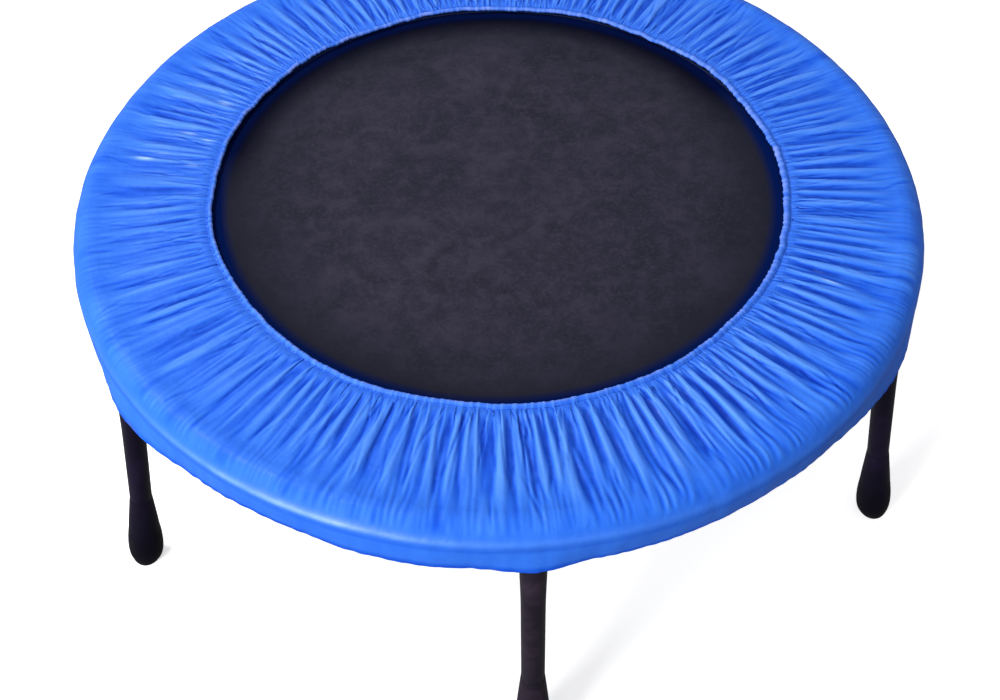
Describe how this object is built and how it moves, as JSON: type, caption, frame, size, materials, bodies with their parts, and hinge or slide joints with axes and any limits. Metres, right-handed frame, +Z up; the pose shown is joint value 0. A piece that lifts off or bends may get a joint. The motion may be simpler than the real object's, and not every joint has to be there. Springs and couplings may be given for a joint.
{
  "type": "mini trampoline",
  "caption": "Round padded rebounder: sprung woven mat in a tube ring, gathered cover over the springs, and screw-in splayed legs with rubber feet.",
  "frame": {"origin": "on the floor, under the middle of the mat", "axes": "+Z up along the trampoline's axis of symmetry; leg 1 stands on the -Y side and the legs are numbered towards +X"},
  "size_m": [0.97, 1.0826, 0.365],
  "materials": {
    "cover": "satin-faced blue PVC-coated cover, gathered into fine pleats",
    "mat": "matt black woven polypropylene with hemmed webbing edge",
    "leg": "semi-gloss black powder coat",
    "frame": "semi-gloss black powder coat over welded steel tube",
    "foot": "matt moulded black rubber",
    "spring": "zinc-plated spring wire",
    "washer": "zinc-plated steel",
    "foam": "closed-cell grey foam strip",
    "elastic": "braided elastic cord"
  },
  "bodies": {
    "frame": {"frame_ring": "frame", "foam_strip": "foam", "pad_cover": "cover", "hem_elastic": "elastic", "skirt_elastic": "elastic", "spring_01": "spring", "spring_02": "spring", "spring_03": "spring", "spring_04": "spring", "spring_05": "spring", "spring_06": "spring", "spring_07": "spring", "spring_08": "spring", "spring_09": "spring", "spring_10": "spring", "spring_11": "spring", "spring_12": "spring", "spring_13": "spring", "spring_14": "spring", "spring_15": "spring", "spring_16": "spring", "spring_17": "spring", "spring_18": "spring", "spring_19": "spring", "spring_20": "spring", "spring_21": "spring", "spring_22": "spring", "spring_23": "spring", "spring_24": "spring", "spring_25": "spring", "spring_26": "spring", "spring_27": "spring", "spring_28": "spring", "spring_29": "spring", "spring_30": "spring"},
    "mat": {"jump_mat": "mat"},
    "leg_washer_1": {"leg_washer_1": "washer"},
    "leg_1": {"leg_1": "leg", "rubber_foot_1": "foot"},
    "leg_washer_2": {"leg_washer_2": "washer"},
    "leg_2": {"leg_2": "leg", "rubber_foot_2": "foot"},
    "leg_washer_3": {"leg_washer_3": "washer"},
    "leg_3": {"leg_3": "leg", "rubber_foot_3": "foot"},
    "leg_washer_4": {"leg_washer_4": "washer"},
    "leg_4": {"leg_4": "leg", "rubber_foot_4": "foot"},
    "leg_washer_5": {"leg_washer_5": "washer"},
    "leg_5": {"leg_5": "leg", "rubber_foot_5": "foot"},
    "leg_washer_6": {"leg_washer_6": "washer"},
    "leg_6": {"leg_6": "leg", "rubber_foot_6": "foot"}
  },
  "joints": [
    {"name": "mat_bounce", "type": "slide", "parent": "frame", "child": "mat", "axis": [0, 0, 1], "range_m": [-0.08, 0], "stiffness_N_per_m": 9000, "deforming": ["spring_01", "spring_02", "spring_03", "spring_04", "spring_05", "spring_06", "spring_07", "spring_08", "spring_09", "spring_10", "spring_11", "spring_12", "spring_13", "spring_14", "spring_15", "spring_16", "spring_17", "spring_18", "spring_19", "spring_20", "spring_21", "spring_22", "spring_23", "spring_24", "spring_25", "spring_26", "spring_27", "spring_28", "spring_29", "spring_30"]},
    {"name": "leg_1_travel", "type": "slide", "parent": "frame", "child": "leg_washer_1", "axis": [0, 0.1746, 0.9846], "range_m": [-0.0226, 0]},
    {"name": "leg_1_turn", "type": "hinge", "parent": "leg_washer_1", "child": "leg_1", "pos_m": [0, -0.464, 0.344], "axis": [0, 0.1746, 0.9846], "range_deg": [-5400, 0]},
    {"name": "leg_2_travel", "type": "slide", "parent": "frame", "child": "leg_washer_2", "axis": [-0.1512, 0.0873, 0.9846], "range_m": [-0.0226, 0]},
    {"name": "leg_2_turn", "type": "hinge", "parent": "leg_washer_2", "child": "leg_2", "pos_m": [0.40184, -0.232, 0.344], "axis": [-0.1512, 0.0873, 0.9846], "range_deg": [-5400, 0]},
    {"name": "leg_3_travel", "type": "slide", "parent": "frame", "child": "leg_washer_3", "axis": [-0.1512, -0.0873, 0.9846], "range_m": [-0.0226, 0]},
    {"name": "leg_3_turn", "type": "hinge", "parent": "leg_washer_3", "child": "leg_3", "pos_m": [0.40184, 0.232, 0.344], "axis": [-0.1512, -0.0873, 0.9846], "range_deg": [-5400, 0]},
    {"name": "leg_4_travel", "type": "slide", "parent": "frame", "child": "leg_washer_4", "axis": [0, -0.1746, 0.9846], "range_m": [-0.0226, 0]},
    {"name": "leg_4_turn", "type": "hinge", "parent": "leg_washer_4", "child": "leg_4", "pos_m": [0, 0.464, 0.344], "axis": [0, -0.1746, 0.9846], "range_deg": [-5400, 0]},
    {"name": "leg_5_travel", "type": "slide", "parent": "frame", "child": "leg_washer_5", "axis": [0.1512, -0.0873, 0.9846], "range_m": [-0.0226, 0]},
    {"name": "leg_5_turn", "type": "hinge", "parent": "leg_washer_5", "child": "leg_5", "pos_m": [-0.40184, 0.232, 0.344], "axis": [0.1512, -0.0873, 0.9846], "range_deg": [-5400, 0]},
    {"name": "leg_6_travel", "type": "slide", "parent": "frame", "child": "leg_washer_6", "axis": [0.1512, 0.0873, 0.9846], "range_m": [-0.0226, 0]},
    {"name": "leg_6_turn", "type": "hinge", "parent": "leg_washer_6", "child": "leg_6", "pos_m": [-0.40184, -0.232, 0.344], "axis": [0.1512, 0.0873, 0.9846], "range_deg": [-5400, 0]}
  ],
  "couplings": [
    {"joint": "leg_1_travel", "follows": "leg_1_turn", "m_per_rad": 0.00023873},
    {"joint": "leg_2_travel", "follows": "leg_2_turn", "m_per_rad": 0.00023873},
    {"joint": "leg_3_travel", "follows": "leg_3_turn", "m_per_rad": 0.00023873},
    {"joint": "leg_4_travel", "follows": "leg_4_turn", "m_per_rad": 0.00023873},
    {"joint": "leg_5_travel", "follows": "leg_5_turn", "m_per_rad": 0.00023873},
    {"joint": "leg_6_travel", "follows": "leg_6_turn", "m_per_rad": 0.00023873}
  ]
}
